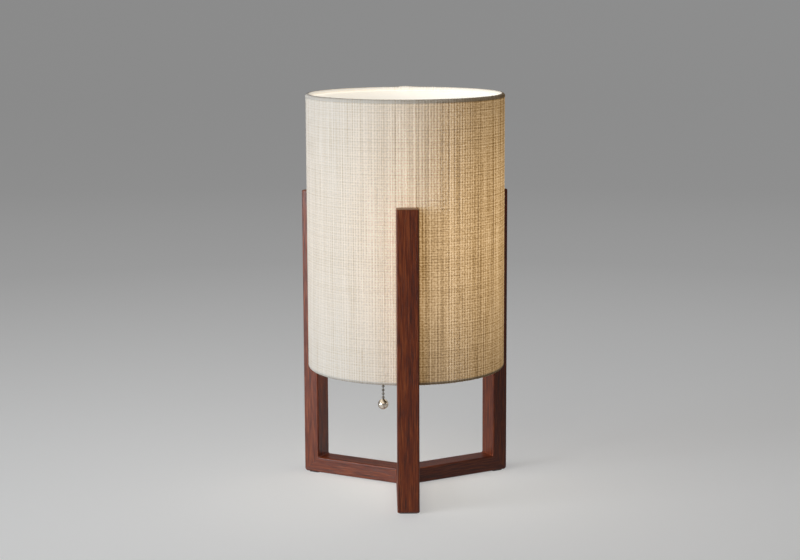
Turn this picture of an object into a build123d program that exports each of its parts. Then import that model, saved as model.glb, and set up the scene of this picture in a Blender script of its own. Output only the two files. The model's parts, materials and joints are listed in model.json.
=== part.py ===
from build123d import *
from math import cos, pi, radians, sin, tan
import os

# Bedside lamp: a tall fabric drum held between three wooden legs on a Y base.
# Millimetres, Z up. Every piece is drawn round the Z axis and stands on the plane z = 0.
# The front leg points to -Y, and the pull chain hangs on the -X side.
# The pieces are saved moved back along Y, so that the middle of the lamp's box is over the origin.

# Fits shared by many pieces
slide_fit = 0.05
loose_fit = 0.10
body_gap = 0.30

# Shade
shade_diameter = 216.0
shade_height = 301.0
shade_bottom = 135.0
fabric_thickness = 0.8
liner_thickness = 0.7
hem_wire = 3.0
hem_wire_gap = 0.3
hem_wrap = 200.0
glue_gap = 0.2
liner_end_gap = 0.3
lap_width = 10.0
lap_thickness = 0.5

# Wooden legs and base bars
leg_width = 23.6
leg_depth = 18.5
leg_top = 325.0
leg_shade_gap = 0.5
bar_height = 17.5
edge_round = 1.5
end_round = 1.8
heel_round = 3.5
inner_round = 1.6
front_leg_angle = -90.0
leg_spacing_angle = 120.0
mitre_half_angle = 60.0
dowel_diameter = 4.0
dowel_length = 14.0
dowel_spacing = 12.0

# Foot pads
pad_thickness = 1.0
pad_width = 20.0
pad_depth = 13.0
pad_round = 2.5

# Hub of the base
plate_thickness = 3.0
plate_width = 14.0
plate_reach = 42.0
screw_radii = (19.0, 34.0)
screw_length = 11.0
screw_tip = 3.0
screw_diameter = 3.2
screw_head_diameter = 6.4
screw_head_height = 1.7
washer_diameter = 16.0
washer_thickness = 1.2
nut_flats = 14.0
nut_height = 5.0
collar_diameter = 19.0
collar_wall = 1.0
collar_height = 11.0
collar_round = 2.0

# Stem and cord inlet
pipe_diameter = 10.0
pipe_wall = 1.5
pipe_end_inset = 0.5
pipe_above_cap_base = 12.0
stem_wall = 1.2
cord_bore = 6.2
cord_hole_growth = 0.3
bushing_wall = 1.0
bushing_flange = 12.0
bushing_flange_thickness = 1.5
bushing_seat_depth = 0.6

# Light bulb
bulb_cap_diameter = 26.0
bulb_cap_height = 25.0
bulb_cap_wall = 0.4
bulb_globe_diameter = 60.0
bulb_length = 106.0
bulb_glass = 0.8
bulb_neck_start = 20.0
bulb_neck_end = 29.0
bulb_shoulder_angle = 35.0
bulb_tip_radius = 4.8
bulb_tip_height = 2.2
bulb_insulator_radius = 10.5
bulb_insulator_top = 5.0
bulb_cap_chamfer = 3.0

# Socket, radial build-up from the bulb's cap outwards
screw_shell_gap = 0.35
screw_shell_wall = 0.5
sleeve_wall = 0.8
shell_wall = 0.7
thread_height = 1.2
flange_reach = 2.5
cap_wall = 0.8

# Socket, heights measured up from the base of its cap
socket_drop = 10.0
cap_hub_diameter = 15.0
cap_rim_height = 24.0
cap_dome_top = 18.0
shell_end_gap = 0.3
body_low = 20.0
body_high = 42.0
pivot_height = 29.0
flange_height = 49.0
flange_thickness = 1.2
rim_height = 63.0
screw_shell_top_gap = 1.5
set_screw_diameter = 3.0
set_screw_height = 4.0
set_screw_angle = 60.0

# Switch works
lever_width = 5.0
lever_thickness = 0.8
lever_hub_diameter = 6.0
lever_tip = 2.3
lever_swing = 22.5
fork_slot = 1.8
fork_end = 0.5
pin_diameter = 3.0
pin_length = 22.0
slot_side_gap = 0.4
slot_half_height = 4.4
slot_back = 5.0
rotor_teeth = 16
rotor_diameter = 12.0
rotor_tooth = 1.0
rotor_thickness = 4.0
pocket_margin = 2.0
pocket_wall_gap = 1.2
blade_thickness = 0.5
spring_thickness = 0.3
spring_width = 4.0
spring_foot = (-5.0, -12.0)
spring_bend = -12.6
spring_touch = -7.0
contact_strip = 0.5
contact_width = 6.0
contact_half_length = 6.5
contact_rise = 2.0
terminal_diameter = 3.0
terminal_head = 5.6
terminal_head_height = 2.0
terminal_inner_radius = 7.5
terminal_sink = 0.6
terminal_height = 38.2
terminal_angles = (60.0, -60.0)

# Chain guide
guide_half_width = 6.0
guide_wall = 1.0
guide_below = 8.0
guide_above = 11.5
bell_bore = 2.5
bell_mouth = 4.2
bell_wall = 0.8
bell_length = 6.0
bell_straight = 2.5

# Pull chain and ball
chain_offset = 25.7
bead_diameter = 3.2
bead_pitch = 4.2
link_diameter = 1.0
bead_count = 17
bead_count_above_swivel = 5
ball_diameter = 12.0
ball_wall = 0.8
ball_slot = 1.3
ball_slot_angle = 55.0
ball_entry = 3.9
ball_slot_azimuth = -60.0

# Shade fitter
fitter_ring_reach = 8.6
fitter_ring_thickness = 1.6
fitter_wire = 3.0
fitter_weld = 0.3
fitter_bend_radius = 9.0
fitter_level_run = 12.0
fitter_notch_gap = 0.4
fitter_angles = (90.0, 210.0, 330.0)
lock_ring_reach = 5.0
lock_ring_height = 5.5
lock_ring_ribs = 24
lock_rib_depth = 0.6

# Sizes worked out from the ones above
shade_radius = shade_diameter / 2
shade_top = shade_bottom + shade_height
hem_inner = hem_wire / 2 + hem_wire_gap
hem_outer = hem_inner + fabric_thickness
hem_radius = shade_radius - hem_outer
top_hem_z = shade_top - hem_outer
bottom_hem_z = shade_bottom + hem_outer
liner_outer = shade_radius - fabric_thickness - glue_gap
leg_inner = shade_radius + leg_shade_gap
leg_outer = leg_inner + leg_depth
axis_y = (leg_outer - shade_radius - lap_thickness) / 2
leg_angles = {
    "front": front_leg_angle,
    "right": front_leg_angle + leg_spacing_angle,
    "left": front_leg_angle + 2 * leg_spacing_angle,
}
hub_top = pad_thickness + bar_height
hub_crotch = leg_width / 2 / cos(radians(30))
pipe_radius = pipe_diameter / 2
cord_height = (pad_thickness + plate_thickness + hub_top) / 2
nut_top = hub_top + washer_thickness + nut_height
cap_base = shade_bottom - socket_drop
bulb_cap_radius = bulb_cap_diameter / 2
screw_shell_inner = bulb_cap_radius + screw_shell_gap
screw_shell_outer = screw_shell_inner + screw_shell_wall
sleeve_inner = screw_shell_outer + loose_fit
sleeve_outer = sleeve_inner + sleeve_wall
shell_inner = sleeve_outer + loose_fit
shell_outer = shell_inner + shell_wall
thread_outer = shell_outer + thread_height
flange_outer = thread_outer + flange_reach
cap_inner = shell_outer + slide_fit
cap_outer = cap_inner + cap_wall
cap_hub_radius = cap_hub_diameter / 2
dome_radius = cap_outer - cap_hub_radius
pivot_z = cap_base + pivot_height
bead_radius = bead_diameter / 2
half_swing = lever_swing / 2
pull_travel = chain_offset * radians(lever_swing)
first_bead_z = pivot_z + chain_offset * tan(radians(half_swing)) + bead_pitch / 2
swivel_bead = bead_count_above_swivel
last_bead = bead_count - 1
ball_radius = ball_diameter / 2
ball_z = (
    first_bead_z - last_bead * bead_pitch - (ball_radius - ball_wall - bead_radius - loose_fit)
)
fitter_ring_z = cap_base + flange_height + flange_thickness
fitter_ring_outer = thread_outer + fitter_ring_reach
bulb_tip_z = cap_base + body_high + contact_rise + contact_strip + body_gap

from_base = (Align.CENTER, Align.CENTER, Align.MIN)


def rod(radius, height, base=0.0):
    """A round bar standing on the height given."""
    return Pos(0, 0, base) * Cylinder(radius, height, align=from_base)


def tube(outer, inner, height, base=0.0):
    """A plain tube standing on the height given."""
    return rod(outer, height, base) - rod(inner, height, base)


def turned(*points, radii=0):
    """A body of revolution round Z from (radius, height) points, corners rounded by radii."""
    if radii:
        outline = FilletPolyline(*points, radius=radii, close=True)
    else:
        outline = Polyline(*points, close=True)
    return revolve(Plane.XZ * make_face(outline), Axis.Z)


def strip(points, thickness, width):
    """A bent metal strip that follows (x, z) points, centred on y = 0."""
    return extrude(Plane.XZ * trace(Polyline(*points), thickness), width / 2, both=True)


def turn(angle, shape):
    """The shape turned about the lamp's axis."""
    return Rot(0, 0, angle) * shape


def along_y(shape):
    """A shape built along +Z, laid along +Y."""
    return Rot(-90, 0, 0) * shape


def save(name, shape):
    """Writes one node, moved to its place in the lamp's frame."""
    export_step(Pos(0, axis_y, 0) * shape, f"parts/{name}.step")


# Wooden frame


def frame_blank():
    """One leg and its bar as a single L, with soft edges, before the corner is mitred."""
    overrun = leg_width
    outline = FilletPolyline(
        (-overrun, pad_thickness),
        (leg_outer, pad_thickness),
        (leg_outer, leg_top),
        (leg_inner, leg_top),
        (leg_inner, hub_top),
        (-overrun, hub_top),
        radius=[0, heel_round, end_round, end_round, inner_round, 0],
        close=True,
    )
    blank = extrude(Plane.XZ * make_face(outline), leg_width / 2, both=True)
    blank = fillet(blank.faces().filter_by(Axis.Y).edges(), edge_round)
    spread = leg_outer * tan(radians(mitre_half_angle))
    sector = make_face(Polyline((0, 0), (leg_outer, -spread), (leg_outer, spread), close=True))
    return blank & extrude(sector, leg_top)


def mitre_plane():
    """The plane that parts leg and bar, from the inner corner to the heel."""
    return Plane(
        origin=((leg_inner + leg_outer) / 2, 0, pad_thickness + bar_height / 2),
        x_dir=(0, 1, 0),
        z_dir=(bar_height, 0, leg_depth),
    )


def corner_dowels(radius):
    """The two pins across one mitre."""
    pin = Cylinder(radius, dowel_length)
    sides = (-dowel_spacing / 2, dowel_spacing / 2)
    return Part() + [mitre_plane() * Pos(side, 0, 0) * pin for side in sides]


def plate_outline():
    """The flat three-armed plate let into the underside of the hub."""
    straight = plate_reach - plate_width / 2
    arm = Rectangle(straight, plate_width, align=(Align.MIN, Align.CENTER))
    arm += Pos(straight, 0) * Circle(plate_width / 2)
    return Sketch() + [turn(angle, arm) for angle in leg_angles.values()]


def hub_screws(growth=0.0):
    """Countersunk wood screws through the plate; growth opens their holes."""
    head = screw_head_diameter / 2 + growth
    shank = screw_diameter / 2 + growth
    length = screw_length + growth
    screw = turned(
        (0, 0), (head, 0), (shank, screw_head_height), (shank, length - screw_tip), (0, length)
    )
    places = [(angle, radius) for angle in leg_angles.values() for radius in screw_radii]
    return Part() + [turn(angle, Pos(radius, 0, pad_thickness) * screw) for angle, radius in places]


def cord_bushing():
    """Flanged sleeve that lines the cord's way out at the back of the hub."""
    inner = cord_bore / 2
    outer = inner + bushing_wall
    seat = hub_crotch + bushing_seat_depth
    start = pipe_radius + body_gap
    sleeve = turned(
        (inner, start),
        (outer, start),
        (outer, seat),
        (bushing_flange / 2, seat),
        (bushing_flange / 2, seat + bushing_flange_thickness),
        (inner, seat + bushing_flange_thickness),
    )
    return Pos(0, 0, cord_height) * along_y(sleeve)


def hub_cutters():
    """What is cut out of the bars for the pipe, the plate, its screws and the cord."""
    seat = hub_crotch + bushing_seat_depth
    recess = extrude(offset(plate_outline(), slide_fit), plate_thickness)
    cord_way = rod(cord_bore / 2 + bushing_wall + slide_fit, seat)
    cord_way += rod(bushing_flange / 2 + loose_fit, leg_width, seat)
    cuts = rod(pipe_radius + loose_fit, hub_top)
    cuts += Pos(0, 0, pad_thickness) * recess
    cuts += Pos(0, 0, cord_height) * along_y(cord_way)
    return cuts + hub_screws(slide_fit)


def build_frame():
    blank = frame_blank() - corner_dowels(dowel_diameter / 2 + slide_fit)
    leg = split(blank, bisect_by=mitre_plane(), keep=Keep.TOP)
    bar = split(blank, bisect_by=mitre_plane(), keep=Keep.BOTTOM)
    cuts = hub_cutters()
    for side, angle in leg_angles.items():
        save(f"{side}_leg", turn(angle, leg))
        save(f"{side}_bar", turn(angle, bar) - cuts)
    dowels = corner_dowels(dowel_diameter / 2)
    save("mitre_dowels", Part() + [turn(angle, dowels) for angle in leg_angles.values()])
    pad_radius = (leg_inner + leg_outer - heel_round) / 2
    pad = extrude(RectangleRounded(pad_depth, pad_width, pad_round), pad_thickness)
    pad = Pos(pad_radius, 0, 0) * pad
    save("foot_pads", Part() + [turn(angle, pad) for angle in leg_angles.values()])


# Hub and stem


def build_stem():
    plate = Pos(0, 0, pad_thickness) * extrude(plate_outline(), plate_thickness)
    plate -= rod(pipe_radius + slide_fit, hub_top)
    save("hub_plate", plate - hub_screws(slide_fit))
    save("hub_screws", hub_screws())
    save("cord_bushing", cord_bushing())

    pipe_base = pad_thickness + pipe_end_inset
    pipe_length = cap_base + pipe_above_cap_base - pipe_base
    pipe = tube(pipe_radius, pipe_radius - pipe_wall, pipe_length, pipe_base)
    pipe -= Pos(0, 0, cord_height) * along_y(rod(cord_bore / 2 + cord_hole_growth, pipe_diameter))
    save("stem_pipe", pipe)

    save("hub_washer", tube(washer_diameter / 2, pipe_radius + loose_fit, washer_thickness, hub_top))
    hexagon = RegularPolygon(nut_flats / 2, 6, major_radius=False)
    nut = extrude(hexagon - Circle(pipe_radius + slide_fit), nut_height)
    save("hub_nut", Pos(0, 0, hub_top + washer_thickness) * nut)

    stem_outer = pipe_radius + body_gap + stem_wall
    stem_length = cap_base - nut_top
    save("stem_tube", tube(stem_outer, stem_outer - stem_wall, stem_length, nut_top))

    outer = collar_diameter / 2
    top = hub_top + collar_height
    collar = turned(
        (outer - collar_wall, hub_top),
        (outer, hub_top),
        (outer, top),
        (stem_outer + loose_fit, top),
        (stem_outer + loose_fit, top - collar_wall),
        (outer - collar_wall, top - collar_wall),
        radii=[0, 0, collar_round, 0, 0, collar_round - collar_wall],
    )
    save("stem_collar", collar)


# Socket


def shell_window():
    """The opening in the -X side of the shell and sleeve that the lever swings through."""
    height = 2 * slot_half_height
    width = lever_width + 2 * slot_side_gap
    return Pos(-shell_inner, 0, pivot_z) * Box(2 * flange_reach + shell_wall, width, height)


def socket_cap():
    """Turned cap with a domed shoulder; its hub screws onto the pipe."""
    dome_centre = (cap_hub_radius, cap_dome_top)
    bore = pipe_radius + slide_fit
    dome_low = cap_dome_top - dome_radius
    outline = Polyline((bore, 0), (cap_hub_radius, 0), (cap_hub_radius, dome_low))
    outline += CenterArc(dome_centre, dome_radius, 270, 90)
    outline += Polyline(
        (cap_outer, cap_dome_top), (cap_outer, cap_rim_height),
        (cap_inner, cap_rim_height), (cap_inner, cap_dome_top),
    )
    outline += CenterArc(dome_centre, dome_radius - cap_wall, 270, 90)
    outline += Polyline((cap_hub_radius, dome_low + cap_wall), (bore, dome_low + cap_wall), (bore, 0))
    return Pos(0, 0, cap_base) * revolve(Plane.XZ * make_face(outline), Axis.Z)


def set_screw(radius):
    """The grub screw that locks the cap's hub to the pipe."""
    length = cap_hub_radius - pipe_radius - slide_fit
    screw = Rot(0, 90, 0) * rod(radius, length, pipe_radius + slide_fit)
    return turn(set_screw_angle, Pos(0, 0, cap_base + set_screw_height) * screw)


def socket_shell():
    """Drawn shell: a plain barrel, a stop flange and the thread that takes the lock ring."""
    flange_top = flange_height + flange_thickness
    shell = turned(
        (shell_inner, cap_dome_top + shell_end_gap),
        (shell_outer, cap_dome_top + shell_end_gap),
        (shell_outer, flange_height),
        (flange_outer, flange_height),
        (flange_outer, flange_top),
        (thread_outer, flange_top),
        (thread_outer, rim_height),
        (shell_inner, rim_height),
    )
    return Pos(0, 0, cap_base) * shell - shell_window()


def rotor_middle():
    """How far the middle of the rotor lies from the lever, along the pin."""
    return lever_width / 2 + slot_side_gap + rotor_thickness / 2


def terminals(head_height, growth=0.0):
    """The two binding screws; growth and a taller head open the holes that take them."""
    head_base = screw_shell_outer - terminal_sink - terminal_head_height
    head = rod(terminal_head / 2 + growth, head_height, head_base)
    shank = rod(terminal_diameter / 2 + growth, head_base - terminal_inner_radius, terminal_inner_radius)
    screw = Pos(0, 0, cap_base + terminal_height) * Rot(0, 90, 0) * (head + shank)
    return Part() + [turn(angle, screw) for angle in terminal_angles]


def switch_body():
    """Moulded block that carries the works: lever slot, rotor pocket, pin hole and terminals."""
    body = rod(screw_shell_outer, body_high - body_low, cap_base + body_low)
    slot_length = screw_shell_outer + slot_back
    slot = Box(slot_length, lever_width + 2 * slot_side_gap, 2 * slot_half_height,
               align=(Align.MAX, Align.CENTER, Align.CENTER))
    pocket_height = rotor_diameter + pocket_margin
    pocket_width = rotor_thickness + pocket_wall_gap
    pocket = Box(rotor_diameter + 2 * pocket_margin, pocket_width, pocket_height)
    pin = along_y(Cylinder(pin_diameter / 2, pin_length))
    body -= Pos(slot_back, 0, pivot_z) * slot
    body -= Pos(0, rotor_middle(), pivot_z) * pocket
    body -= Pos(0, 0, pivot_z) * pin
    return body - terminals(terminal_head_height + 2 * terminal_sink, slide_fit)


def switch_lever():
    """Stamped lever: rolled eye on the pin, flat arm, forked tip that holds the chain's first bead."""
    reach = chain_offset + lever_tip
    arm = Box(reach, lever_width, lever_thickness, align=(Align.MAX, Align.CENTER, Align.CENTER))
    eye = along_y(Cylinder(lever_hub_diameter / 2, lever_width))
    slot = Box(reach, fork_slot, lever_width, align=(Align.MAX, Align.CENTER, Align.CENTER))
    slot_end = -chain_offset + fork_end
    lever = arm + eye - Pos(slot_end, 0, 0) * (slot + Cylinder(fork_slot / 2, lever_width))
    lever -= along_y(Cylinder(pin_diameter / 2 + slide_fit, lever_width))
    return Pos(0, 0, pivot_z) * Rot(0, half_swing, 0) * lever


def ratchet_rotor():
    """Saw-toothed wheel on the lever's pin that makes and breaks the circuit."""
    outer = rotor_diameter / 2
    root = outer - rotor_tooth
    step = 2 * pi / rotor_teeth
    points = []
    for tooth in range(rotor_teeth):
        angle = tooth * step
        points.append((outer * cos(angle), outer * sin(angle)))
        points.append((root * cos(angle), root * sin(angle)))
    wheel = make_face(Polyline(*points, close=True)) - Circle(pin_diameter / 2 + slide_fit)
    wheel = Pos(0, 0, -rotor_thickness / 2) * extrude(wheel, rotor_thickness)
    return Pos(0, rotor_middle(), pivot_z) * along_y(wheel)


def contact_blades():
    """The pair of flat springs that stand in the pocket either side of the rotor."""
    height = rotor_diameter + pocket_margin
    offset_x = rotor_diameter / 2 + body_gap + blade_thickness / 2
    blade = Box(blade_thickness, rotor_thickness, height)
    return Part() + [Pos(side * offset_x, rotor_middle(), pivot_z) * blade for side in (-1, 1)]


def return_spring():
    """Leaf folded back on itself between the floor of the slot and the lever."""
    half = spring_thickness / 2
    floor = pivot_z - slot_half_height + half
    underside = pivot_z - spring_touch * tan(radians(half_swing)) - lever_thickness / 2
    touch = underside - body_gap - spring_thickness
    points = [
        (spring_foot[0], floor), (spring_foot[1], floor),
        (spring_bend, floor + 2 * spring_thickness), (spring_touch, touch),
    ]
    return strip(points, spring_thickness, spring_width)


def centre_contact():
    """Springy tongue on top of the switch body that meets the bulb's tip."""
    half = contact_strip / 2
    low = cap_base + body_high + half
    high = low + contact_rise
    points = [
        (-contact_half_length, low), (contact_half_length, low),
        (contact_half_length + half, (low + high) / 2),
        (contact_half_length - half, high), (-contact_half_length / 2, high),
    ]
    return strip(points, contact_strip, contact_width)


def chain_guide():
    """Hood over the lever's tip with a bell mouth that the chain runs down through."""
    low = pivot_z - guide_below
    height = guide_below + guide_above

    def hood(half_width, base, tall):
        run = Box(chain_offset, 2 * half_width, tall, align=(Align.MIN, Align.CENTER, Align.MIN))
        return Pos(-chain_offset, 0, base) * (run + rod(half_width, tall))

    guide = hood(guide_half_width, low, height)
    guide -= hood(guide_half_width - guide_wall, low + guide_wall, height - 2 * guide_wall)
    guide -= rod(shell_outer, height, low)
    guide -= rod(cap_outer + loose_fit, cap_rim_height + loose_fit, cap_base)
    bell = turned(
        (bell_bore, 0),
        (bell_bore + bell_wall, 0),
        (bell_bore + bell_wall, -bell_straight),
        (bell_mouth + bell_wall, -bell_length + bell_wall),
        (bell_mouth, -bell_length),
        (bell_bore, -bell_straight - bell_wall),
        radii=[0, 0, bell_length / 2, 0, 0, bell_length / 2],
    )
    guide -= Pos(-chain_offset, 0, low) * rod(bell_bore, guide_wall)
    return guide + Pos(-chain_offset, 0, low) * bell


def build_socket():
    save("socket_cap", socket_cap() - set_screw(set_screw_diameter / 2 + slide_fit))
    save("cap_set_screw", set_screw(set_screw_diameter / 2))
    save("socket_shell", socket_shell())
    sleeve_low = cap_base + body_low
    sleeve_height = rim_height - body_low - screw_shell_top_gap
    sleeve = tube(sleeve_outer, sleeve_inner, sleeve_height, sleeve_low)
    save("insulating_sleeve", sleeve - shell_window())
    screw_shell_low = cap_base + body_high
    screw_shell_height = rim_height - body_high - screw_shell_top_gap
    screw_shell = tube(screw_shell_outer, screw_shell_inner, screw_shell_height, screw_shell_low)
    save("screw_shell", screw_shell)
    save("switch_body", switch_body())
    save("terminal_screws", terminals(terminal_head_height))
    save("lever_pin", Pos(0, 0, pivot_z) * along_y(Cylinder(pin_diameter / 2, pin_length)))
    save("switch_lever", switch_lever())
    save("ratchet_rotor", ratchet_rotor())
    save("contact_blades", contact_blades())
    save("return_spring", return_spring())
    save("centre_contact", centre_contact())
    save("chain_guide", chain_guide())


# Pull chain


def bead_z(index):
    return first_bead_z - index * bead_pitch


def chain(first, last, top, bottom):
    """Beads on their links as one length of chain, with link ends at the heights given."""
    length = rod(link_diameter / 2, top - bottom, bottom)
    for index in range(first, last + 1):
        length += Pos(0, 0, bead_z(index)) * Sphere(bead_radius)
    return Pos(-chain_offset, 0, 0) * length


def pull_ball():
    """Hollow ball with the keyhole slot that lets the last bead in."""
    ball = Sphere(ball_radius) - Sphere(ball_radius - ball_wall)
    sector = make_face(
        Polyline(
            (0, 0),
            (0, ball_diameter),
            (ball_diameter * tan(radians(ball_slot_angle)), ball_diameter),
            close=True,
        )
    )
    slot = extrude(Plane.XZ * sector, ball_slot / 2, both=True)
    entry = Rot(0, ball_slot_angle, 0) * rod(ball_entry / 2, ball_diameter)
    ball -= turn(ball_slot_azimuth, slot + entry)
    ball -= rod(ball_slot / 2, ball_diameter)
    return Pos(-chain_offset, 0, ball_z) * ball


def build_chain():
    above = swivel_bead - 1
    below = swivel_bead + 1
    link_gap = bead_radius + body_gap
    save("chain_head", chain(0, above, bead_z(0), bead_z(swivel_bead) + link_gap))
    save("chain_swivel", Pos(-chain_offset, 0, bead_z(swivel_bead)) * Sphere(bead_radius))
    save("chain_drop", chain(below, last_bead, bead_z(swivel_bead) - link_gap, bead_z(last_bead)))
    save("pull_ball", pull_ball())


# Shade and its fitter


def fitter_arm(radius):
    """One bent wire from under the fitter ring down to the bottom hem wire."""
    level = fitter_ring_z - fitter_wire / 2 + fitter_weld
    start = flange_outer + body_gap
    path = FilletPolyline(
        (start, 0, level),
        (start + fitter_level_run, 0, level),
        (hem_radius, 0, bottom_hem_z),
        radius=fitter_bend_radius,
    )
    section = Plane(origin=path @ 0, z_dir=path % 0) * Circle(radius)
    return sweep(section, path=path)


def fitter_arms(radius):
    return Part() + [turn(angle, fitter_arm(radius)) for angle in fitter_angles]


def hem_ring(height):
    """One of the round wires that hold the shade's rims in shape."""
    return Pos(0, 0, height) * Torus(hem_radius, hem_wire / 2)


def shade_fabric():
    """The woven skin: a straight drum whose edges roll round the hem wires, with a lap seam behind."""
    top = (hem_radius, top_hem_z)
    bottom = (hem_radius, bottom_hem_z)
    outside = CenterArc(bottom, hem_outer, -hem_wrap, hem_wrap)
    outside += Line((shade_radius, bottom_hem_z), (shade_radius, top_hem_z))
    outside += CenterArc(top, hem_outer, 0, hem_wrap)
    inside = CenterArc(bottom, hem_inner, -hem_wrap, hem_wrap)
    inside += Line((hem_radius + hem_inner, bottom_hem_z), (hem_radius + hem_inner, top_hem_z))
    inside += CenterArc(top, hem_inner, 0, hem_wrap)
    ends = []
    for centre, angle in ((top, hem_wrap), (bottom, -hem_wrap)):
        direction = (cos(radians(angle)), sin(radians(angle)))
        ends.append(
            Line(
                (centre[0] + hem_inner * direction[0], centre[1] + hem_inner * direction[1]),
                (centre[0] + hem_outer * direction[0], centre[1] + hem_outer * direction[1]),
            )
        )
    skin = revolve(Plane.XZ * make_face(outside + inside + ends[0] + ends[1]), Axis.Z)
    lap_angle = lap_width / shade_radius * 180 / pi
    lap_height = top_hem_z - bottom_hem_z
    lap_middle = (bottom_hem_z + top_hem_z) / 2
    lap_section = Pos(shade_radius, lap_middle) * Rectangle(2 * lap_thickness, lap_height)
    lap = revolve(Plane.XZ * lap_section, Axis.Z, lap_angle)
    lap -= rod(shade_radius - lap_thickness / 2, shade_top)
    return skin + turn(90 - lap_angle / 2, lap)


def lock_ring():
    """Knurled ring that screws down on the fitter ring."""
    inner = thread_outer + slide_fit
    outer = thread_outer + lock_ring_reach
    outline = Circle(outer)
    grooves = [
        turn(index * 360 / lock_ring_ribs, Pos(outer, 0) * Circle(lock_rib_depth))
        for index in range(lock_ring_ribs)
    ]
    ring = extrude(outline - grooves - Circle(inner), lock_ring_height)
    return Pos(0, 0, fitter_ring_z + fitter_ring_thickness) * ring


def build_shade():
    top_ring = hem_ring(top_hem_z)
    bottom_ring = hem_ring(bottom_hem_z)
    save("top_ring", top_ring)
    save("bottom_ring", bottom_ring)
    save("shade_fabric", shade_fabric() - fitter_arms(fitter_wire / 2 + fitter_notch_gap))
    liner_low = bottom_hem_z + hem_wire / 2 + liner_end_gap
    liner_height = top_hem_z - hem_wire / 2 - liner_end_gap - liner_low
    save("shade_liner", tube(liner_outer, liner_outer - liner_thickness, liner_height, liner_low))
    ring = tube(fitter_ring_outer, thread_outer + loose_fit, fitter_ring_thickness, fitter_ring_z)
    save("fitter_ring", ring)
    save("fitter_arms", fitter_arms(fitter_wire / 2) - ring - bottom_ring)
    save("shade_lock_ring", lock_ring())


# Light bulb


def globe_outline(inset):
    """Half outline of the globe, drawn in by the inset: neck, shoulder and round top."""
    globe = bulb_globe_diameter / 2 - inset
    neck = bulb_cap_radius - bulb_cap_wall - loose_fit - inset
    centre = bulb_length - bulb_globe_diameter / 2
    shoulder = radians(bulb_shoulder_angle)
    joint = (globe * cos(shoulder), centre - globe * sin(shoulder))
    outline = Polyline((0, bulb_neck_start), (neck, bulb_neck_start), (neck, bulb_neck_end))
    outline += Spline(
        (neck, bulb_neck_end), joint, tangents=[(0, 1), (sin(shoulder), cos(shoulder))]
    )
    outline += CenterArc((0, centre), globe, -bulb_shoulder_angle, 90 + bulb_shoulder_angle)
    outline += Line((0, centre + globe), (0, bulb_neck_start))
    return make_face(outline)


def build_bulb():
    place = Pos(0, 0, bulb_tip_z)
    glass = revolve(Plane.XZ * globe_outline(0), Axis.Z)
    glass -= revolve(Plane.XZ * globe_outline(bulb_glass), Axis.Z)
    save("bulb_globe", place * glass)
    outer = bulb_cap_radius
    inner = outer - bulb_cap_wall
    chamfer_top = bulb_insulator_top + bulb_cap_chamfer
    cap = turned(
        (bulb_insulator_radius - bulb_cap_wall, bulb_insulator_top),
        (bulb_insulator_radius, bulb_insulator_top),
        (outer, chamfer_top),
        (outer, bulb_cap_height),
        (inner, bulb_cap_height),
        (inner, chamfer_top + bulb_cap_wall),
        (bulb_insulator_radius - bulb_cap_wall, bulb_insulator_top + bulb_cap_wall),
    )
    save("bulb_cap", place * cap)
    insulator = turned(
        (0, bulb_tip_height),
        (bulb_tip_radius, bulb_tip_height),
        (bulb_insulator_radius, bulb_insulator_top),
        (0, bulb_insulator_top),
    )
    save("bulb_insulator", place * insulator)
    tip = turned(
        (0, 0), (bulb_tip_radius, 0), (bulb_tip_radius, bulb_tip_height), (0, bulb_tip_height),
        radii=[0, bulb_tip_height / 2, 0, 0],
    )
    save("bulb_contact", place * tip)


os.makedirs("parts", exist_ok=True)
build_frame()
build_stem()
build_socket()
build_chain()
build_shade()
build_bulb()
print("lamp axis at y", round(axis_y, 3), "pull travel", round(pull_travel, 3))
print("ball centre", round(-chain_offset, 3), round(ball_z, 3))
print("lever pivot height", round(pivot_z, 3), "swivel height", round(bead_z(swivel_bead), 3))
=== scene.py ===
import json
import random
from math import cos, exp, pi, radians, sin

import bpy
from mathutils import Matrix, Vector


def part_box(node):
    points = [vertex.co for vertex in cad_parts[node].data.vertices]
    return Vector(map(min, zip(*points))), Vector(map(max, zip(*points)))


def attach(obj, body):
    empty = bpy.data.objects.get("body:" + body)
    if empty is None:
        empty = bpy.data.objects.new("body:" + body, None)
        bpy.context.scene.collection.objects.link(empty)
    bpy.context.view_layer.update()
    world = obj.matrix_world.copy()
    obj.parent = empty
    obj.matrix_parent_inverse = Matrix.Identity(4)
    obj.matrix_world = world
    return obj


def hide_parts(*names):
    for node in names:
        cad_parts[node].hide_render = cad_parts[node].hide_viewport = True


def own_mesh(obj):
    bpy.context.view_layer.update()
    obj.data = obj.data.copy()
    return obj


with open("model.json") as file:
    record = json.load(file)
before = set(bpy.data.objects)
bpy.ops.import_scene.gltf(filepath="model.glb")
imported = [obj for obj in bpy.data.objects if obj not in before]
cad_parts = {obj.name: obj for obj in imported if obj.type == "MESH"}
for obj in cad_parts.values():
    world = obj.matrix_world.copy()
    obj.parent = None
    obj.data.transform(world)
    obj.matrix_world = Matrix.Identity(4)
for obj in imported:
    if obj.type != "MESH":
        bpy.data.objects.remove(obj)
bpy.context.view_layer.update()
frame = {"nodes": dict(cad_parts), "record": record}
nodes = frame["nodes"]
scene = bpy.context.scene
MM = 0.001

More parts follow.
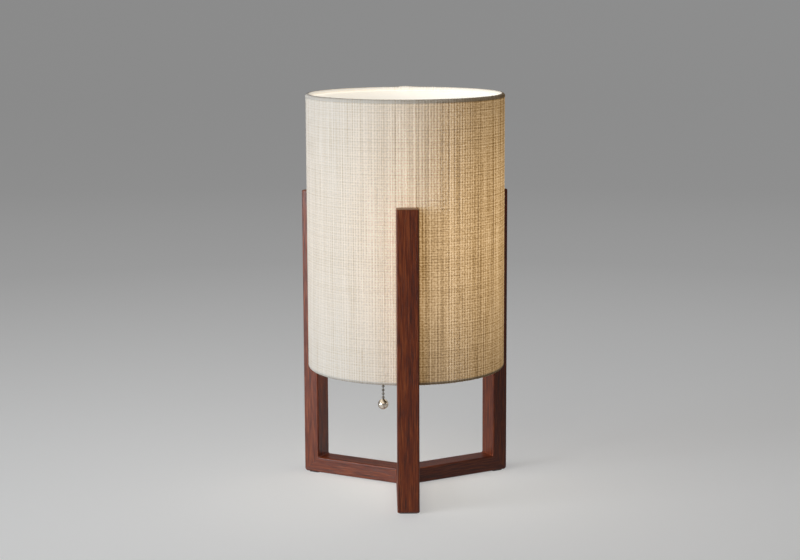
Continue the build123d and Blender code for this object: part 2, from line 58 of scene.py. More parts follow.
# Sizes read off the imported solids
fabric_low, fabric_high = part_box("shade_fabric")
ring_low, ring_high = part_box("top_ring")
bottom_ring_low, bottom_ring_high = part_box("bottom_ring")
globe_low, globe_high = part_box("bulb_globe")
AXIS_Y = (ring_low.y + ring_high.y) / 2
SHADE_RADIUS = (fabric_high.x - fabric_low.x) / 2
SHADE_BOTTOM = fabric_low.z
SHADE_TOP = fabric_high.z
HEM_WIRE = ring_high.z - ring_low.z
HEM_RADIUS = (ring_high.x - ring_low.x - HEM_WIRE) / 2
HEM_ROLL = SHADE_RADIUS - HEM_RADIUS
TOP_HEM_Z = (ring_low.z + ring_high.z) / 2
BOTTOM_HEM_Z = (bottom_ring_low.z + bottom_ring_high.z) / 2
BULB_Z = globe_high.z - (globe_high.x - globe_low.x) / 2

# Camera, at the place and angle of the photograph
CAMERA_PLACE = (-0.033580, -2.075205, 0.575440)
CAMERA_YAW = 0.013023
CAMERA_PITCH = 0.163969
CAMERA_ROLL = -0.004197
LENS_MM = 86.245
SENSOR_MM = 36.0
camera_data = bpy.data.cameras.new("camera")
camera_data.lens = LENS_MM
camera_data.sensor_width = SENSOR_MM
camera = bpy.data.objects.new("camera", camera_data)
scene.collection.objects.link(camera)
camera.matrix_world = (
    Matrix.Translation(CAMERA_PLACE)
    @ Matrix.Rotation(-CAMERA_YAW, 4, "Z")
    @ Matrix.Rotation(pi / 2 - CAMERA_PITCH, 4, "X")
    @ Matrix.Rotation(CAMERA_ROLL, 4, "Z")
)
scene.camera = camera
scene.view_settings.view_transform = "Standard"


# Short calls for building a material

# Numbers of the colour sockets on a mix node
MIX_FIRST = 6
MIX_SECOND = 7
MIX_RESULT = 2


def with_alpha(value):
    """A plain colour gets its alpha; any other value stays as it is."""
    return (*value, 1.0) if isinstance(value, tuple) else value


def grey(level):
    return (level, level, level)


def seen_ray(tree):
    """1 for a ray from the camera and for one that comes by way of a mirror or glass, else 0."""
    path = tree.nodes.new("ShaderNodeLightPath")
    seen = path.outputs["Is Camera Ray"]
    for other in ("Is Glossy Ray", "Is Transmission Ray"):
        either = tree.nodes.new("ShaderNodeMath")
        either.operation = "MAXIMUM"
        tree.links.new(seen, either.inputs[0])
        tree.links.new(path.outputs[other], either.inputs[1])
        seen = either.outputs[0]
    return seen


class MaterialNodes:
    """A new material, with short calls that add nodes to it."""

    def __init__(self, name):
        self.material = bpy.data.materials.new(name)
        self.material.use_nodes = True
        self.tree = self.material.node_tree
        self.tree.nodes.clear()
        self.output = self.add("ShaderNodeOutputMaterial")
        self.shader = self.add("ShaderNodeBsdfPrincipled")
        self.feed(self.output.inputs["Surface"], self.shader.outputs["BSDF"])

    def add(self, kind, **settings):
        node = self.tree.nodes.new(kind)
        for key, value in settings.items():
            setattr(node, key, value)
        return node

    def feed(self, socket, value):
        """Links a socket to another one, or sets it to a plain value."""
        if isinstance(value, bpy.types.NodeSocket):
            self.tree.links.new(value, socket)
        else:
            socket.default_value = value

    def put(self, socket, value):
        """Feeds a socket of the shader."""
        self.feed(self.shader.inputs[socket], with_alpha(value))

    def coords(self, kind="Object"):
        return self.add("ShaderNodeTexCoord").outputs[kind]

    def axes(self, vector):
        """The X, Y and Z of a vector."""
        node = self.add("ShaderNodeSeparateXYZ")
        self.feed(node.inputs[0], vector)
        return node.outputs

    def attribute(self, name):
        return self.add("ShaderNodeAttribute", attribute_name=name).outputs["Fac"]

    def mapping(self, vector, scale=(1, 1, 1), turn=(0, 0, 0), shift=(0, 0, 0)):
        node = self.add("ShaderNodeMapping")
        self.feed(node.inputs["Vector"], vector)
        node.inputs["Scale"].default_value = scale
        node.inputs["Rotation"].default_value = turn
        node.inputs["Location"].default_value = shift
        return node.outputs["Vector"]

    def noise(self, vector, scale, detail=3.0, rough=0.5, distortion=0.0):
        node = self.add("ShaderNodeTexNoise")
        self.feed(node.inputs["Vector"], vector)
        node.inputs["Scale"].default_value = scale
        node.inputs["Detail"].default_value = detail
        node.inputs["Roughness"].default_value = rough
        node.inputs["Distortion"].default_value = distortion
        return node.outputs["Fac"]

    def math(self, operation, a, b=0.0):
        node = self.add("ShaderNodeMath", operation=operation)
        self.feed(node.inputs[0], a)
        self.feed(node.inputs[1], b)
        return node.outputs[0]

    def sway(self, value, noise, size):
        """A value moved up and down by a noise that lies round 0.5."""
        return self.math("ADD", value, self.math("MULTIPLY", self.math("SUBTRACT", noise, 0.5), size))

    def spread(self, value, low, high, to_low=0.0, to_high=1.0):
        node = self.add("ShaderNodeMapRange")
        self.feed(node.inputs["Value"], value)
        node.inputs["From Min"].default_value = low
        node.inputs["From Max"].default_value = high
        node.inputs["To Min"].default_value = to_low
        node.inputs["To Max"].default_value = to_high
        return node.outputs["Result"]

    def ramp(self, value, stops):
        node = self.add("ShaderNodeValToRGB")
        self.feed(node.inputs["Fac"], value)
        elements = node.color_ramp.elements
        while len(elements) < len(stops):
            elements.new(0.5)
        for element, (place, colour) in zip(elements, stops):
            element.position = place
            element.color = with_alpha(colour)
        return node.outputs["Color"]

    def mix(self, factor, first, second):
        node = self.add("ShaderNodeMix", data_type="RGBA")
        self.feed(node.inputs[0], factor)
        self.feed(node.inputs[MIX_FIRST], with_alpha(first))
        self.feed(node.inputs[MIX_SECOND], with_alpha(second))
        return node.outputs[MIX_RESULT]

    def uneven_polish(self, noise, smooth, dull):
        """Roughness between two values, led by a noise."""
        self.put("Roughness", self.spread(noise, 0.3, 0.7, smooth, dull))

    def bump(self, height, distance, strength=0.5):
        node = self.add("ShaderNodeBump")
        node.inputs["Strength"].default_value = strength
        node.inputs["Distance"].default_value = distance
        self.feed(node.inputs["Height"], height)
        self.put("Normal", node.outputs["Normal"])

    def clear_from_behind(self):
        """Lets a look from the back of the faces pass through them."""
        mixer = self.add("ShaderNodeMixShader")
        self.feed(mixer.inputs[0], self.add("ShaderNodeNewGeometry").outputs["Backfacing"])
        self.feed(mixer.inputs[1], self.shader.outputs["BSDF"])
        self.feed(mixer.inputs[2], self.add("ShaderNodeBsdfTransparent").outputs["BSDF"])
        self.feed(self.output.inputs["Surface"], mixer.outputs["Shader"])


# Materials

DARK = (0.0, 0.0, 0.0)
WALNUT_TONES = (
    (0.38, (0.045, 0.0070, 0.0016)),
    (0.50, (0.158, 0.0245, 0.0042)),
    (0.62, (0.290, 0.0670, 0.0165)),
)
WALNUT_PORE = (0.030, 0.0070, 0.0042)
# End grain of the leg tops, painted far lighter than the wood: a painted reflection of the shade's glow over
# real growth rings
END_GRAIN_SHEEN_DARK = (0.24, 0.100, 0.042)
END_GRAIN_SHEEN_LIGHT = (0.46, 0.240, 0.115)


def walnut(name, turn, shift):
    """Reddish walnut, oiled, with its grain along the piece.

    turn is the angle of a bar, and None for an upright leg. shift gives each piece its own stretch of grain.
    """
    look = MaterialNodes(name)
    place = look.coords()
    if turn is not None:
        place = look.mapping(place, turn=(0, 0, -turn))
        place = look.mapping(place, turn=(0, -pi / 2, 0))
    place = look.mapping(place, shift=shift)

    def drawn_out(fineness, length, **settings):
        """Noise that is drawn out along the grain."""
        return look.noise(look.mapping(place, scale=(1, 1, length)), fineness, **settings)

    band = drawn_out(120.0, 0.035, rough=0.55, distortion=0.6)
    streak = drawn_out(800.0, 0.05, rough=0.6)
    fibre = drawn_out(1100.0, 0.03, rough=0.6)
    pores = look.spread(drawn_out(1500.0, 0.05, detail=2.0), 0.58, 0.70)
    tone = look.math("ADD", look.math("MULTIPLY", band, 0.16), look.math("MULTIPLY", streak, 0.50))
    tone = look.math("ADD", tone, look.math("MULTIPLY", fibre, 0.34))
    colour = look.mix(look.math("MULTIPLY", pores, 0.6), look.ramp(tone, WALNUT_TONES), WALNUT_PORE)
    # The upward faces of the legs take the painted reflection over their end grain
    facing_up = look.axes(look.coords("Normal"))["Z"]
    top_sheen_mask = look.spread(facing_up, 0.60, 0.95) if turn is None else 0.0
    growth = look.noise(look.mapping(place, scale=(1, 0.25, 1)), 900.0)
    rings = look.mix(growth, END_GRAIN_SHEEN_DARK, END_GRAIN_SHEEN_LIGHT)
    look.put("Base Color", look.mix(top_sheen_mask, colour, rings))
    look.uneven_polish(fibre, 0.34, 0.47)
    look.put("Specular IOR Level", 0.42)
    look.bump(look.math("SUBTRACT", look.math("MULTIPLY", fibre, 0.4), pores), 0.12 * MM, 0.6)
    return look.material


def metal(name, colour, rough, wear=0.08, lines=None):
    """Metal with a faintly uneven polish; lines gives fine turned or brushed marks across an axis."""
    look = MaterialNodes(name)
    place = look.coords()
    cloud = look.spread(look.noise(place, 140.0, 4.0), 0.35, 0.65)
    look.put("Base Color", look.mix(cloud, tuple(0.82 * c for c in colour), colour))
    look.put("Metallic", 1.0)
    look.uneven_polish(look.noise(place, 420.0), rough - wear / 2, rough + wear)
    if lines:
        look.bump(look.noise(look.mapping(place, scale=lines), 1.0, 2.0), 0.02 * MM)
    return look.material


def plain(name, colour, rough, grain=900.0, depth=0.04 * MM):
    """Moulded, pressed or coated stuff with a fine even grain."""
    look = MaterialNodes(name)
    place = look.coords()
    look.put("Base Color", look.mix(look.noise(place, 90.0), tuple(0.88 * c for c in colour), colour))
    look.uneven_polish(look.noise(place, grain, 2.0), rough - 0.06, rough + 0.06)
    look.bump(look.noise(place, grain), depth)
    return look.material


# Between these two places, from left to right, the painted glow grows to its full share: the left side of
# the shade is painted dimmer
PAINTED_GLOW_WEAK_X = -75 * MM
PAINTED_GLOW_FULL_X = 45 * MM


def painted_glow(look, centre, reach, least, left=1.0):
    """How much painted glow of the bulb's light shows: a painted pool, a soft hump round a height, with a
    smaller painted share at the left.
    """
    place = look.axes(look.coords())
    away = look.math("DIVIDE", look.math("SUBTRACT", place["Z"], centre), reach)
    hump = look.math("EXPONENT", look.math("MULTIPLY", look.math("MULTIPLY", away, away), -1.0))
    hump = look.spread(hump, 0.0, 1.0, least, 1.0)
    return look.math("MULTIPLY", hump, look.spread(place["X"], PAINTED_GLOW_WEAK_X, PAINTED_GLOW_FULL_X, left, 1.0))


LINEN_FACE = (
    (0.0, (0.58, 0.455, 0.325)),
    (0.35, (0.675, 0.610, 0.510)),
    (0.62, (0.70, 0.680, 0.645)),
    (1.0, (0.72, 0.710, 0.690)),
)
# Colours of the painted glow through the cloth, by tone
LINEN_PAINTED_GLOW = (
    (0.0, (0.164, 0.079, 0.021)),
    (0.35, (0.330, 0.187, 0.059)),
    (0.60, (0.560, 0.350, 0.152)),
    (0.90, (0.790, 0.548, 0.296)),
)
# Colour that the hems are darkened towards: painted shade, as the wire and doubled cloth let little glow
# through
LINEN_HEM_SHADE = (0.42, 0.335, 0.245)
# Painted glow on the cloth turned inside round the hem wires
LINEN_INSIDE_LIT = (0.60, 0.55, 0.47)


def linen(name):
    """Slubby woven linen. The warm light that comes through it is a painted glow, with little of it through
    the rolled hems.
    """
    look = MaterialNodes(name)
    hem = look.attribute("hem")
    fuzz = look.noise(look.mapping(look.coords("UV"), scale=(340.0, 155.0, 1.0)), 1.0, rough=0.6)
    broad = look.noise(look.mapping(look.coords("UV"), scale=(60.0, 1.5, 1.0)), 1.0, rough=0.6)
    tone = look.sway(look.attribute("tone"), broad, 0.10)
    grain = look.sway(tone, fuzz, 0.88)
    # The rolled hems are painted darker: painted shade
    hem_shade_share = look.math("MULTIPLY", hem, 0.22)
    look.put("Base Color", look.mix(hem_shade_share, look.ramp(tone, LINEN_FACE), LINEN_HEM_SHADE))
    through = look.ramp(look.spread(grain, 0.0, 1.0, -0.32, 1.20), LINEN_PAINTED_GLOW)
    # Painted glow of the bulb's light, painted weaker on the shade's left side
    painted_lit = painted_glow(look, BULB_Z + 45 * MM, reach=150 * MM, least=0.35, left=0.36)
    painted_lit = look.math("MULTIPLY", painted_lit, look.math("SUBTRACT", 1.0, look.math("MULTIPLY", hem, 0.75)))
    outside = look.mix(painted_lit, DARK, through)
    look.put("Emission Color", look.mix(look.attribute("inside"), outside, LINEN_INSIDE_LIT))
    look.put("Emission Strength", 1.0)
    look.put("Roughness", 0.9)
    look.put("Specular IOR Level", 0.15)
    look.put("Sheen Weight", 0.1)
    look.put("Sheen Roughness", 0.5)
    look.bump(fuzz, 0.6 * MM)
    return look.material


def liner(name):
    """White satin backing, with a painted glow of the bulb's light round the bulb's height."""
    look = MaterialNodes(name)
    place = look.coords()
    look.put("Base Color", look.mix(look.noise(place, 60.0), (0.56, 0.555, 0.54), (0.62, 0.615, 0.60)))
    look.uneven_polish(look.noise(place, 700.0, 2.0), 0.48, 0.58)
    painted_lit = painted_glow(look, BULB_Z, reach=170 * MM, least=0.80)
    look.put("Emission Color", look.mix(painted_lit, DARK, (0.56, 0.525, 0.465)))
    look.put("Emission Strength", 1.0)
    look.bump(look.noise(place, 1400.0, 2.0), 0.03 * MM, 0.4)
    return look.material


def frosted(name):
    """Frosted bulb glass, lit from behind its inner face."""
    look = MaterialNodes(name)
    place = look.coords()
    look.put("Base Color", (0.70, 0.69, 0.66))
    look.uneven_polish(look.noise(place, 500.0, 2.0), 0.42, 0.52)
    look.put("Emission Color", look.mix(look.noise(place, 35.0, 2.0), (1.0, 0.80, 0.52), (1.0, 0.85, 0.61)))
    look.put("Emission Strength", 1.1)
    return look.material


finishes = {
    "dowel": plain("birch_dowel", (0.50, 0.33, 0.18), 0.7, grain=500.0),
    "pad": plain("pad_rubber", (0.018, 0.017, 0.016), 0.82, grain=1500.0, depth=0.1 * MM),
    "steel": metal("zinc_steel", (0.46, 0.46, 0.47), 0.36, wear=0.12),
    "nickel": metal("satin_nickel", (0.78, 0.70, 0.60), 0.20, wear=0.06),
    # The chain's nickel is painted much darker than the ball's: painted shade of the backlit beads
    "chain": metal("shaded_chain_nickel", (0.20, 0.185, 0.17), 0.28),
    "socket_metal": metal("socket_brass", (0.58, 0.42, 0.19), 0.30, wear=0.10, lines=(60.0, 60.0, 2600.0)),
    "contact_metal": metal("contact_brass", (0.70, 0.50, 0.22), 0.25),
    "black_plastic": plain("black_moulding", (0.022, 0.022, 0.023), 0.45),
    "fibre": plain("pressed_fibre", (0.36, 0.24, 0.13), 0.85, grain=600.0, depth=0.1 * MM),
    "white_wire": plain("white_coat", (0.72, 0.70, 0.66), 0.42),
    "cap_metal": metal("bulb_cap_metal", (0.66, 0.66, 0.67), 0.28),
    "cap_glass": plain("cap_glass", (0.012, 0.012, 0.014), 0.12),
    "white_liner": liner("shade_liner"),
    "frosted_glass": frosted("frosted_glass"),
    "linen": linen("linen"),
}
LEG_ANGLES = {"front": -90.0, "right": 30.0, "left": 150.0}
GRAIN_STEP = (0.37, 0.21, 0.53)
CHAIN_NODES = ("chain_head", "chain_swivel", "chain_drop")


def dress(node, material):
    """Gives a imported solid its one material."""
    materials = nodes[node].data.materials
    materials.clear()
    materials.append(material)


for number, (side, angle) in enumerate(LEG_ANGLES.items()):
    grain_shift = tuple(step * number for step in GRAIN_STEP)
    dress(f"{side}_leg", walnut(f"walnut_{side}_leg", None, grain_shift))
    dress(f"{side}_bar", walnut(f"walnut_{side}_bar", radians(angle), grain_shift))
for subpart in frame["record"]["subparts"]:
    if subpart["material_slot"] in finishes:
        dress(subpart["node"], finishes[subpart["material_slot"]])
for chain_node in CHAIN_NODES:
    dress(chain_node, finishes["chain"])


# Pieces made here


def piece(name, points, faces, material, body, slot, smooth=True):
    """A mesh that rides on a body and takes the material it is given; slot is not used."""
    mesh = bpy.data.meshes.new(name)
    mesh.from_pydata(points, [], faces)
    mesh.materials.append(material)
    mesh.polygons.foreach_set("use_smooth", [smooth] * len(mesh.polygons))
    mesh.update()
    made = bpy.data.objects.new(name, mesh)
    scene.collection.objects.link(made)
    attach(made, body)
    return made


def arc(centre, radius, start, end, steps):
    """Points (radius, height) on a circle, angles in degrees."""
    angles = [radians(start + (end - start) * i / steps) for i in range(steps + 1)]
    return [(centre[0] + radius * cos(a), centre[1] + radius * sin(a)) for a in angles]


def distance(a, b):
    return ((b[0] - a[0]) ** 2 + (b[1] - a[1]) ** 2) ** 0.5


# Weave of the shade: upright warp bundles and level weft threads

LAP = 10 * MM
LAP_RISE = 0.75 * MM
SEED = 7
wrap_length = 2 * pi * SHADE_RADIUS + LAP
chance = random.Random(SEED)

# Warp bundles; each gap between bundles is painted darker as painted shade, given by its darkness, and a
# quarter of the gaps are darker still
BROAD_SHARE = 0.66
BROAD_WIDTHS_MM = (3.1, 3.7)
NARROW_WIDTHS_MM = (2.0, 2.7)
WARP_RISES_MM = (0.20, 0.42)
WARP_TONE_SPREAD = 0.045
WARP_GAP_SHADES = (0.15, 0.31)
DEEP_GAP_SHADE_SHARE = 0.25
DEEP_GAP_SHADE_EXTRAS = (0.10, 0.28)

# Where the three columns of points stand on a bundle: in the gap before it and twice on its crown
COLUMN_SHARES = (0.0, 0.30, 0.70)

# Weft threads, thick and thin by turns, with waves round the drum in the painted shade of their gaps
WEFT_WIDTHS = (3.1 * MM, 1.5 * MM, 1.6 * MM, 3.0 * MM)
WEFT_GAP_SHADES = (0.12, 0.22)
WEFT_RISE = 0.20 * MM
WAVE_COUNTS = (5, 17, 41)
WAVE_SIZE = 0.12

# Where the rows of points stand on a weft thread, finer near a hem, which is rolled
NEAR_HEM = 14 * MM
FINE_ROWS = (0.0, 0.25, 0.5, 0.75)
PLAIN_ROWS = (0.0, 0.5)

# Depth of the holes between crossing threads, and how far the whole weave is let into its profile
HOLE_DEPTH = 0.3 * MM
SINK = 0.15 * MM

# The bottom roll shows up to here above its wire, and the cloth counts as inside from here off the wires
BOTTOM_ROLL_EDGE = 0.8 * MM
INSIDE_EDGE = 0.5 * MM

# Tone on the crown of a plain bundle, and what a slub adds to it
CROWN_TONE = 0.70
SLUB_TONE = 0.10


def swells(count, reaches, sizes):
    """Soft bumps along a bundle, each with its height, reach and size."""
    return [
        (chance.uniform(SHADE_BOTTOM, SHADE_TOP), chance.uniform(*reaches), chance.uniform(*sizes))
        for _ in range(count)
    ]


def swell_at(bumps, z):
    """Sum of soft bumps at a height."""
    return sum(size * exp(-(((z - centre) / reach) ** 2)) for centre, reach, size in bumps)


def warp_bundles():
    """Upright bundles of thread side by side round the shade, most of them broad and some narrow."""
    bundles = []
    place = 0.0
    while place < wrap_length:
        broad = chance.random() < BROAD_SHARE
        width = chance.uniform(*(BROAD_WIDTHS_MM if broad else NARROW_WIDTHS_MM)) * MM
        rise = chance.uniform(*WARP_RISES_MM) * MM
        tone = chance.gauss(0.0, WARP_TONE_SPREAD)
        gap_shade = chance.uniform(*WARP_GAP_SHADES)
        if chance.random() < DEEP_GAP_SHADE_SHARE:
            gap_shade += chance.uniform(*DEEP_GAP_SHADE_EXTRAS)
        bundles.append(
            {
                "place": place,
                "width": width,
                "rise": rise,
                "tone": tone,
                "gap_shade": gap_shade,
                "fades": swells(5, (0.008, 0.040), (-0.7, 0.9)),
                "slubs": swells(3, (0.010, 0.040), (-1, 1)),
            }
        )
        place += width
    return bundles


def weft_threads(length):
    """Level threads one above the other along a length."""
    threads = []
    place = 0.0
    while place < length:
        width = WEFT_WIDTHS[len(threads) % len(WEFT_WIDTHS)] * chance.uniform(0.93, 1.07)
        threads.append(
            {
                "place": place,
                "width": width,
                "gap_shade": chance.uniform(*WEFT_GAP_SHADES),
                "waves": [(count, chance.uniform(0.0, 2 * pi)) for count in WAVE_COUNTS],
            }
        )
        place += width
    return threads


def along(profile):
    """Distance run along a line of (radius, height) points, up to each of them."""
    runs = [0.0]
    for start, end in zip(profile, profile[1:]):
        runs.append(runs[-1] + distance(start, end))
    return runs


def weave_rows(profile):
    """The profile cut in the gap below each weft thread and on its crown.

    Each row is (radius, height, outward radius, outward height, run, weft number, weft thread, crown), where
    crown is 0 in the gap and 1 on the crown.
    """
    runs = along(profile)
    rows = []
    segment = 0
    for number, weft in enumerate(weft_threads(runs[-1])):
        near_hem = min(weft["place"], runs[-1] - weft["place"]) < NEAR_HEM
        for part in FINE_ROWS if near_hem else PLAIN_ROWS:
            run = weft["place"] + part * weft["width"]
            if run >= runs[-1]:
                break
            while runs[segment + 1] <= run:
                segment += 1
            (r0, z0), (r1, z1) = profile[segment], profile[segment + 1]
            size = runs[segment + 1] - runs[segment]
            share = (run - runs[segment]) / size
            place = (r0 + (r1 - r0) * share, z0 + (z1 - z0) * share)
            outward = ((z1 - z0) / size, (r0 - r1) / size)
            rows.append((*place, *outward, run, number, weft, sin(pi * part) ** 2))
    return rows


bundles = warp_bundles()


def woven_sheet(name, profile, lift):
    """A plain weave wrapped once round the shade, its ends lapped at the back.

    lift raises the sheet off its profile. A sheet that is raised is all hem.
    """
    rows = weave_rows(profile)
    lap_angle = LAP / SHADE_RADIUS
    points, tones, hems, insides, uvs = [], [], [], [], []
    columns = [(i, part) for i in range(len(bundles)) for part in range(len(COLUMN_SHARES))]
    for i, part in columns:
        warp = bundles[i]
        top = 1 if part else 0
        share = (warp["place"] + warp["width"] * COLUMN_SHARES[part]) / wrap_length
        turned = share * (2 * pi + lap_angle)
        over = max(0.0, turned - (2 * pi - 2 * lap_angle)) / (2 * lap_angle)
        lap_rise = LAP_RISE * min(1.0, over) ** 2
        angle = pi / 2 - lap_angle / 2 + turned
        to_side, to_back = cos(angle), sin(angle)
        for r, z, out_r, out_z, run, j, weft, crown in rows:
            slub = swell_at(warp["slubs"], z)
            gap_shade = warp["gap_shade"] * max(0.1, 1.0 + swell_at(warp["fades"], z))
            waves = sum(sin(count * turned + phase) for count, phase in weft["waves"])
            weft_gap_shade = weft["gap_shade"] * (1.0 + WAVE_SIZE * waves)
            above = 1.0 if (i + j) % 2 else -1.0
            rise = top * warp["rise"] * (1.0 + 0.5 * slub) * (0.6 + 0.4 * above * crown)
            rise += WEFT_RISE * crown * (0.5 - 0.5 * above * top)
            rise -= HOLE_DEPTH * (1 - top) * (1 - crown) * (0.4 + gap_shade)
            out = lift + lap_rise + rise - SINK
            radius = r + out_r * out
            tone = CROWN_TONE + top * (warp["tone"] + SLUB_TONE * slub)
            # Gaps between threads are painted darker: painted shade, which also dims the painted glow there
            tone -= gap_shade * (1 - top) * (1 - 0.35 * crown) + weft_gap_shade * (1 - crown)
            rolled = z > TOP_HEM_Z or z < BOTTOM_HEM_Z + BOTTOM_ROLL_EDGE
            points.append((radius * to_side, AXIS_Y + radius * to_back, z + out_z * out))
            tones.append(tone)
            hems.append(1.0 if rolled or lift else 0.0)
            insides.append(1.0 if r < HEM_RADIUS - INSIDE_EDGE else 0.0)
            uvs.append((share, run / (SHADE_TOP - SHADE_BOTTOM)))
    count = len(rows)
    faces = [
        (a * count + b, (a + 1) * count + b, (a + 1) * count + b + 1, a * count + b + 1)
        for a in range(len(columns) - 1)
        for b in range(count - 1)
    ]
    sheet = piece(name, points, faces, finishes["linen"], "lamp", "linen")
    mesh = sheet.data
    for key, values in (("tone", tones), ("hem", hems), ("inside", insides)):
        mesh.attributes.new(key, "FLOAT", "POINT").data.foreach_set("value", values)
    layer = mesh.uv_layers.new(name="UVMap")
    corners = [0] * len(mesh.loops)
    mesh.loops.foreach_get("vertex_index", corners)
    layer.data.foreach_set("uv", [value for corner in corners for value in uvs[corner]])
    return sheet


# The skin, rolled round both hem wires, and the thin band over the top rim, whose edge is tucked in
HEM_TURN = 235
HEM_STEPS = 30
BAND_TURN = 200
BAND_DROP = 1.2 * MM
BAND_LIFT = 0.25 * MM
BAND_TUCK = 0.3 * MM
BAND_TUCK_DROP = 0.1 * MM
skin_profile = arc((HEM_RADIUS, BOTTOM_HEM_Z), HEM_ROLL, -HEM_TURN, 0, HEM_STEPS)
skin_profile += arc((HEM_RADIUS, TOP_HEM_Z), HEM_ROLL, 0, HEM_TURN, HEM_STEPS)
skin = woven_sheet("shade_linen", skin_profile, 0.0)
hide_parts("shade_fabric")
band_profile = [
    (SHADE_RADIUS - BAND_TUCK, TOP_HEM_Z - BAND_DROP - BAND_TUCK_DROP),
    (SHADE_RADIUS, TOP_HEM_Z - BAND_DROP),
]
band_profile += arc((HEM_RADIUS, TOP_HEM_Z), HEM_ROLL, 0, BAND_TURN, HEM_STEPS)
band = woven_sheet("top_hem_band", band_profile, BAND_LIFT)


def joined_rings(rings, closed):
    """Points and quads from each ring of points to the next.

    closed joins the last ring to the first one. Otherwise both ends are capped.
    """
    count = len(rings[0])
    points = [point for ring in rings for point in ring]
    pairs = list(zip(range(len(rings)), range(1, len(rings))))
    if closed:
        pairs.append((len(rings) - 1, 0))
    faces = [
        (a * count + i, a * count + (i + 1) % count, b * count + (i + 1) % count, b * count + i)
        for a, b in pairs
        for i in range(count)
    ]
    if not closed:
        faces += [tuple(range(count))[::-1], tuple(range(len(points) - count, len(points)))]
    return points, faces


def threaded_cap():
    """Screw cap of the bulb: thin pressed metal with a rounded thread.

    It has a chamfer below and a plain skirt above, and the thread fades out over 1 mm at each end.
    """
    low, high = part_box("bulb_cap")
    radius = (high.x - low.x) / 2
    wall = 0.4 * MM
    pitch = 3.63 * MM
    depth = 0.7 * MM
    chamfer = 2.5 * MM
    skirt = 6.0 * MM
    foot_radius = radius - chamfer
    sides = 72
    steps = 70
    heights = [low.z + (high.z - low.z) * i / steps for i in range(steps + 1)]

    def ring(z, inset):
        base = foot_radius + (radius - foot_radius) * min(1.0, (z - low.z) / chamfer)
        fade = min(1.0, max(0.0, (z - low.z - chamfer) / MM), max(0.0, (high.z - skirt - z) / MM))
        points = []
        for i in range(sides):
            turn = 2 * pi * i / sides
            dip = depth * fade * (0.5 - 0.5 * cos(2 * pi * (z - low.z) / pitch - turn))
            r = base - dip - inset
            points.append((r * cos(turn), AXIS_Y + r * sin(turn), z))
        return points

    rings = [ring(z, 0.0) for z in heights] + [ring(z, wall) for z in reversed(heights)]
    cap = piece("bulb_screw_cap", *joined_rings(rings, True), finishes["cap_metal"], "bulb", "cap_metal")
    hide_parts("bulb_cap")


def leaf_spring():
    """Brass leaf folded back under the lever, made at rest; on the real switch it flattens as the chain is
    pulled.
    """
    low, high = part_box("return_spring")
    half = 0.15 * MM
    bend = 0.45 * MM
    foot_length = 2 * MM
    tip_x = -7.0 * MM
    tip_z = high.z - half
    centre = (low.x + bend + half, low.z + half + bend)
    # A flat foot, the fold, and a leaf that rises to the tip and dips a little behind it
    line = [(high.x, low.z + half), (high.x - foot_length, low.z + half)]
    line += arc(centre, bend, 270, 128, 12)
    line += [(tip_x - 1.2 * MM, tip_z - 0.75 * MM), (tip_x, tip_z), (tip_x + 0.5 * MM, tip_z - 0.22 * MM)]
    rings = []
    for i, (x, z) in enumerate(line):
        before = line[max(0, i - 1)]
        after = line[min(len(line) - 1, i + 1)]
        size = distance(before, after)
        side_x = half * (before[1] - after[1]) / size
        side_z = half * (after[0] - before[0]) / size
        rings.append(
            [
                (x + side_x, low.y, z + side_z),
                (x + side_x, high.y, z + side_z),
                (x - side_x, high.y, z - side_z),
                (x - side_x, low.y, z - side_z),
            ]
        )
    points, faces = joined_rings(rings, False)
    spring = piece("lever_spring", points, faces, finishes["contact_metal"], "lamp", "contact_metal", False)
    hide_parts("return_spring")
    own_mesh(spring)


threaded_cap()
leaf_spring()


# Studio: pale floor that curves up on every side, soft light from the left

# Paper by its distance from the lamp, a painted pool of light that is brightest round the lamp: how it takes
# the light, and what it shows besides
PAPER_NEAR = 0.2
PAPER_FAR = 3.4
PAPER_POOL_LEVELS = ((0.0, (0.62, 0.615, 0.608)), (0.45, grey(0.26)), (1.0, grey(0.22)))
PAPER_POOL_SHOWN = ((0.0, grey(0.38)), (0.45, grey(0.29)), (1.0, grey(0.235)))
PAPER_UNSEEN = (0.07, 0.062, 0.055)


def studio_paper():
    """Pale paper that throws little light back on the lamp."""
    look = MaterialNodes("studio_paper")
    seen = seen_ray(look.tree)
    away = look.add("ShaderNodeVectorMath", operation="LENGTH")
    look.feed(away.inputs[0], look.coords())
    # Painted pool of light: the paper takes more light and shows more near the lamp
    pool_falloff = look.spread(away.outputs["Value"], PAPER_NEAR, PAPER_FAR)
    look.put("Base Color", look.mix(seen, PAPER_UNSEEN, look.ramp(pool_falloff, PAPER_POOL_LEVELS)))
    look.put("Emission Color", look.mix(seen, DARK, look.ramp(pool_falloff, PAPER_POOL_SHOWN)))
    look.put("Emission Strength", 1.0)
    look.put("Roughness", 0.85)
    look.put("Specular IOR Level", 0.2)
    look.clear_from_behind()
    return look.material


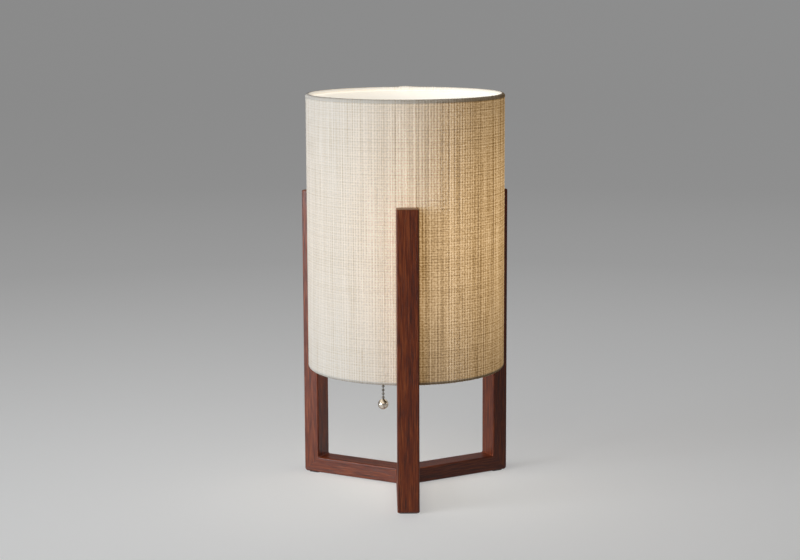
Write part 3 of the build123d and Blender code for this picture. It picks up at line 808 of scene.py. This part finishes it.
def studio_floor():
    """A round dish of paper: flat floor, rounded bend and upright wall on every side."""
    middle = 0.5
    flat = 1.5
    bend = 1.0
    wall = 3.8
    wall_top = 4.0
    sides = 96
    drop = 0.2 * MM
    profile = [(middle, 0.0), (flat, 0.0)]
    for degrees in range(0, 91, 5):
        a = radians(degrees)
        profile.append((wall - bend + bend * sin(a), bend - bend * cos(a)))
    profile.append((wall, wall_top))
    turns = [2 * pi * i / sides for i in range(sides)]
    points = [(r * cos(a), r * sin(a), z - drop) for r, z in profile for a in turns]
    faces = [tuple(range(sides))]
    for row in range(len(profile) - 1):
        inner = row * sides
        outer = inner + sides
        for i in range(sides):
            after = (i + 1) % sides
            faces.append((inner + i, outer + i, outer + after, inner + after))
    mesh = bpy.data.meshes.new("studio_floor")
    mesh.from_pydata(points, [], faces)
    mesh.polygons.foreach_set("use_smooth", [True] * len(mesh.polygons))
    mesh.materials.append(studio_paper())
    made = bpy.data.objects.new("studio_floor", mesh)
    scene.collection.objects.link(made)


def area_light(name, place, aim, size, power, colour, spread=180.0):
    """A soft rectangular light that shines from its place towards its aim."""
    data = bpy.data.lights.new(name, "AREA")
    data.shape = "RECTANGLE"
    data.size, data.size_y = size
    data.energy = power
    data.color = colour
    data.spread = radians(spread)
    light = bpy.data.objects.new(name, data)
    light.location = place
    light.rotation_euler = (Vector(aim) - Vector(place)).to_track_quat("-Z", "Y").to_euler()
    scene.collection.objects.link(light)


def studio_world():
    """Faint even light from all round; a look past the paper's edge shows about the paper's own grey."""
    world = bpy.data.worlds.new("studio")
    world.use_nodes = True
    tree = world.node_tree
    light = tree.nodes["Background"]
    light.inputs["Color"].default_value = with_alpha(grey(0.9))
    light.inputs["Strength"].default_value = 0.055
    backdrop = tree.nodes.new("ShaderNodeBackground")
    backdrop.inputs["Color"].default_value = with_alpha(grey(0.25))
    mixer = tree.nodes.new("ShaderNodeMixShader")
    tree.links.new(seen_ray(tree), mixer.inputs[0])
    tree.links.new(light.outputs["Background"], mixer.inputs[1])
    tree.links.new(backdrop.outputs["Background"], mixer.inputs[2])
    tree.links.new(mixer.outputs["Shader"], tree.nodes["World Output"].inputs["Surface"])
    scene.world = world


studio_floor()
area_light(
    "key",
    place=(-2.10, -1.20, 0.52),
    aim=(0.0, 0.0, 0.25),
    size=(1.3, 1.0),
    power=18.2,
    colour=(0.885, 0.945, 1.0),
    spread=110.0,
)
area_light(
    "fill",
    place=(-1.3, -2.45, 1.6),
    aim=(0.0, 0.0, 0.2),
    size=(1.6, 1.2),
    power=16.8,
    colour=(1.0, 0.97, 0.90),
)
studio_world()
